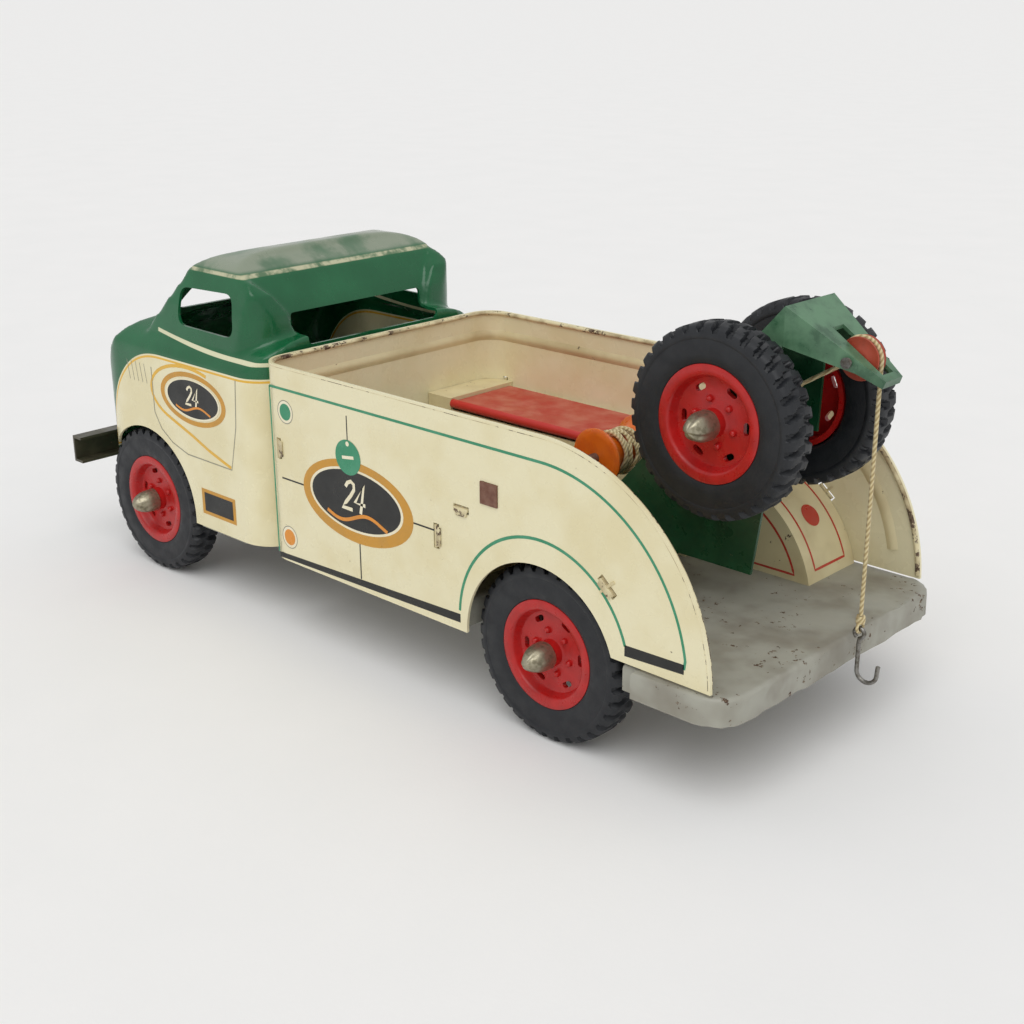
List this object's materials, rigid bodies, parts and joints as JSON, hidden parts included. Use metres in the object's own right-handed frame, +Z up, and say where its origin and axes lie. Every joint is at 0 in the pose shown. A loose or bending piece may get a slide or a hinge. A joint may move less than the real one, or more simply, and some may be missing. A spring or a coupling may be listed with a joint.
{
  "type": "toy tow truck",
  "caption": "Pressed-steel toy wrecker: rounded cab, curved bed with lidded toolboxes, leaning boom with winch, pulley and hook, spare wheels, bumper and free-turning wheels.",
  "frame": {"origin": "on the ground, in the middle of the truck's length and width", "axes": "+X forward, +Y to the truck's left, +Z up"},
  "size_m": [0.4041, 0.1508, 0.1622],
  "materials": {
    "tyre_rubber": "matt, dusty",
    "red_plastic": "moulded, slightly faded",
    "cap_metal": "weathered plating",
    "rod_steel": "dull",
    "deck_grey": "worn grey enamel",
    "bumper_olive": "rubbed at the edges",
    "green_enamel": "gloss enamel, hazy",
    "cream_enamel": "printed enamel, chipped edges",
    "lid_red": "faded enamel",
    "boom_green": "worn enamel",
    "orange_plastic": "translucent moulding",
    "pulley_red": "moulded",
    "line_cord": "braided cotton",
    "bush_brown": "rubbed",
    "hook_steel": "tarnished wire"
  },
  "bodies": {
    "truck": {"chassis": "deck_grey", "front_axle_bracket": "deck_grey", "rear_axle_bracket": "deck_grey", "bumper": "bumper_olive", "cab_shell": "green_enamel", "bed_shell": "cream_enamel", "left_toolbox": "cream_enamel", "right_toolbox": "cream_enamel", "left_hinge_wire": "rod_steel", "right_hinge_wire": "rod_steel", "boom": "boom_green", "spare_axle": "rod_steel", "spare_axle_caps": "cap_metal", "front_axle": "rod_steel", "rear_axle": "rod_steel", "front_axle_caps": "cap_metal", "rear_axle_caps": "cap_metal", "left_winch_bush": "bush_brown", "right_winch_bush": "bush_brown", "pulley_pin": "rod_steel", "tow_line_run": "line_cord"},
    "front_left_wheel": {"front_left_tyre": "tyre_rubber", "front_left_hub": "red_plastic"},
    "front_right_wheel": {"front_right_tyre": "tyre_rubber", "front_right_hub": "red_plastic"},
    "rear_left_wheel": {"rear_left_tyre": "tyre_rubber", "rear_left_hub": "red_plastic"},
    "rear_right_wheel": {"rear_right_tyre": "tyre_rubber", "rear_right_hub": "red_plastic"},
    "left_spare_wheel": {"left_spare_tyre": "tyre_rubber", "left_spare_hub": "red_plastic"},
    "right_spare_wheel": {"right_spare_tyre": "tyre_rubber", "right_spare_hub": "red_plastic"},
    "left_lid_panel": {"left_lid": "lid_red"},
    "right_lid_panel": {"right_lid": "lid_red"},
    "winch": {"winch_rod": "rod_steel", "winch_spool": "orange_plastic", "line_winding": "line_cord"},
    "pulley": {"tip_pulley": "pulley_red"},
    "hook": {"tow_line_drop": "line_cord", "line_knot": "line_cord", "tow_hook": "hook_steel"}
  },
  "joints": [
    {"name": "front_left_spin", "type": "hinge", "parent": "truck", "child": "front_left_wheel", "pos_m": [0.14225, 0.057, 0.0345], "axis": [0, 1, 0], "continuous": true},
    {"name": "front_right_spin", "type": "hinge", "parent": "truck", "child": "front_right_wheel", "pos_m": [0.14225, -0.057, 0.0345], "axis": [0, 1, 0], "continuous": true},
    {"name": "rear_left_spin", "type": "hinge", "parent": "truck", "child": "rear_left_wheel", "pos_m": [-0.10775, 0.057, 0.0345], "axis": [0, 1, 0], "continuous": true},
    {"name": "rear_right_spin", "type": "hinge", "parent": "truck", "child": "rear_right_wheel", "pos_m": [-0.10775, -0.057, 0.0345], "axis": [0, 1, 0], "continuous": true},
    {"name": "left_spare_spin", "type": "hinge", "parent": "truck", "child": "left_spare_wheel", "pos_m": [-0.15005, 0.022, 0.1221], "axis": [0, 1, 0], "continuous": true},
    {"name": "right_spare_spin", "type": "hinge", "parent": "truck", "child": "right_spare_wheel", "pos_m": [-0.15005, -0.03, 0.1221], "axis": [0, 1, 0], "continuous": true},
    {"name": "left_lid_hinge", "type": "hinge", "parent": "truck", "child": "left_lid_panel", "pos_m": [-0.02285, 0.027, 0.0836], "axis": [1, 0, 0], "range_deg": [0, 100]},
    {"name": "right_lid_hinge", "type": "hinge", "parent": "truck", "child": "right_lid_panel", "pos_m": [-0.02285, -0.027, 0.0836], "axis": [-1, 0, 0], "range_deg": [0, 100]},
    {"name": "winch_turn", "type": "hinge", "parent": "truck", "child": "winch", "pos_m": [-0.08425, -0.004, 0.0915], "axis": [0, -1, 0], "range_deg": [0, 375]},
    {"name": "pulley_turn", "type": "hinge", "parent": "truck", "child": "pulley", "pos_m": [-0.18795, -0.004, 0.14562], "axis": [0, 1, 0], "range_deg": [0, 482]},
    {"name": "hook_lift", "type": "slide", "parent": "truck", "child": "hook", "axis": [0, 0, 1], "range_m": [0, 0.06], "deforming": ["tow_line_drop"]}
  ],
  "couplings": [
    {"joint": "pulley_turn", "follows": "winch_turn", "ratio": 1.2797},
    {"joint": "hook_lift", "follows": "winch_turn", "m_per_rad": 0.00915}
  ]
}
